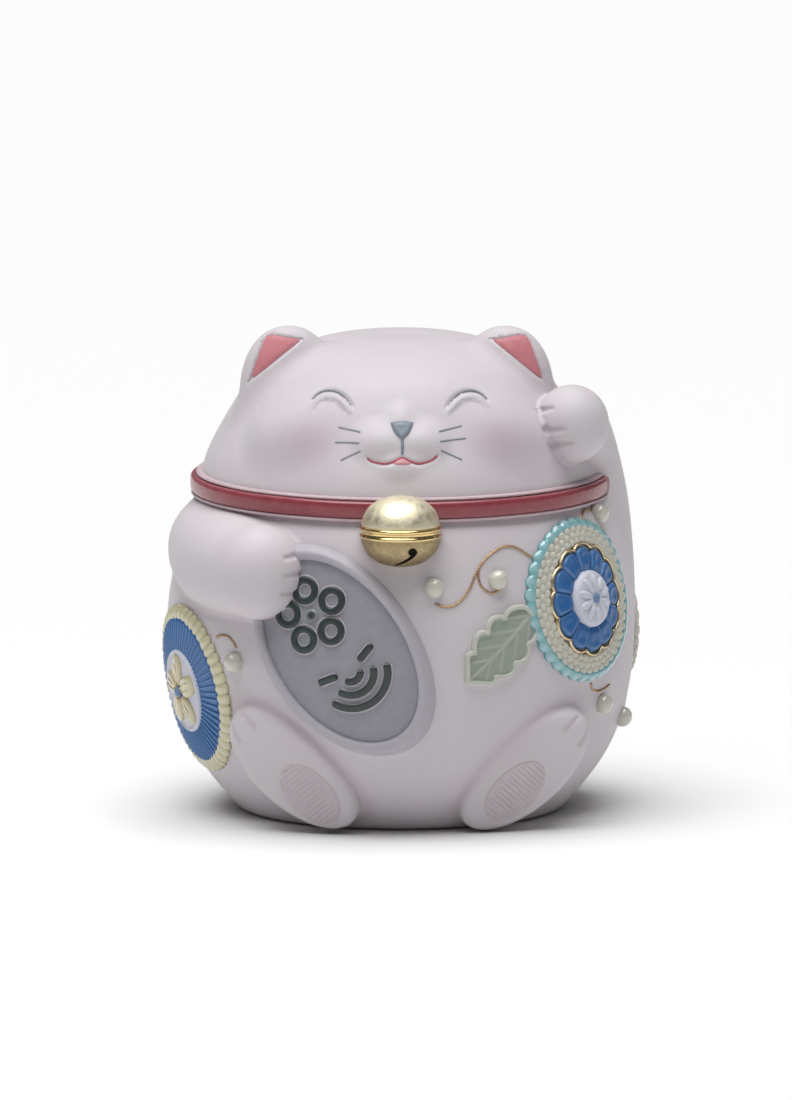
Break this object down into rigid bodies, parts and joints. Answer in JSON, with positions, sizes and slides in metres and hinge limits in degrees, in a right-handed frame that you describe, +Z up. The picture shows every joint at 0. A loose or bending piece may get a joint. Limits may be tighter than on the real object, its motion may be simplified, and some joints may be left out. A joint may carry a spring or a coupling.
{
  "type": "beckoning cat figurine",
  "caption": "Round hollow porcelain cat with one paw raised and the other on an oval coin, with a glazed collar, a gilt bell, and applied rosettes, leaves, stems and beads",
  "frame": {"origin": "centre of the flat base, on the plane it stands on", "axes": "+Z up along the body's axis; the cat faces -Y; its left arm, which beckons, is on the +X side"},
  "size_m": [0.1874, 0.1947, 0.1915],
  "materials": {
    "bisque": "unglazed bisque porcelain, matte, pale lavender pink",
    "ear_pink": "matte coral-pink slip",
    "collar_glaze": "glossy brick-red glaze",
    "collar_slip": "matte pale slip",
    "gilt_pale": "satin pale gilding, fine grain",
    "gilt_bright": "polished gilding",
    "gilt_antique": "matte antique gilding",
    "coin_rim_slip": "matte grey-lavender slip",
    "coin_field": "matte blue-grey slip",
    "emblem_glaze": "satin green-black glaze",
    "turquoise_glaze": "glossy turquoise glaze",
    "ivory_slip": "matte ivory slip",
    "ivory_glaze": "glossy ivory glaze",
    "blue_slip": "satin cobalt-blue slip",
    "white_slip": "matte lavender-white slip",
    "cream_glaze": "glossy cream glaze",
    "grey_blue_slip": "matte grey-blue slip",
    "sage_slip": "matte sage-green slip",
    "gilt_line": "fine gilded line"
  },
  "bodies": {
    "root": {"body_shell": "bisque", "head_shell": "bisque", "ear_right": "bisque", "ear_lining_right": "ear_pink", "ear_left": "bisque", "ear_lining_left": "ear_pink", "collar_band": "collar_glaze", "collar_edging": "collar_slip", "bell_crown": "gilt_pale", "bell_belt": "gilt_bright", "bell_cup": "gilt_antique", "coin_plate": "coin_field", "coin_rim": "coin_rim_slip", "coin_emblem": "emblem_glaze", "foot_right": "bisque", "foot_pad_right": "bisque", "foot_left": "bisque", "foot_pad_left": "bisque", "beckoning_paw": "bisque", "beckoning_arm": "bisque", "coin_paw": "bisque", "coin_arm": "bisque", "tail": "bisque", "rosette_a_rim": "turquoise_glaze", "rosette_a_field": "ivory_slip", "rosette_a_gilt": "gilt_line", "rosette_a_petals": "blue_slip", "rosette_a_button": "white_slip", "rosette_a_florets": "white_slip", "rosette_a_eye": "grey_blue_slip", "rosette_b_rim": "cream_glaze", "rosette_b_pleats": "blue_slip", "rosette_b_disc": "white_slip", "rosette_b_blossom": "cream_glaze", "rosette_b_eye": "grey_blue_slip", "rosette_c_rim": "ivory_slip", "rosette_c_petals": "ivory_slip", "rosette_c_button": "cream_glaze", "leaf_front": "ivory_slip", "leaf_front_blade": "sage_slip", "leaf_back": "ivory_slip", "leaf_back_blade": "sage_slip", "beads_front": "ivory_glaze", "beads_left_side": "ivory_glaze", "beads_right_side": "ivory_glaze", "gilt_stems_front": "gilt_line", "gilt_stems_left_side": "gilt_line", "gilt_stems_right_side": "gilt_line"}
  },
  "joints": []
}
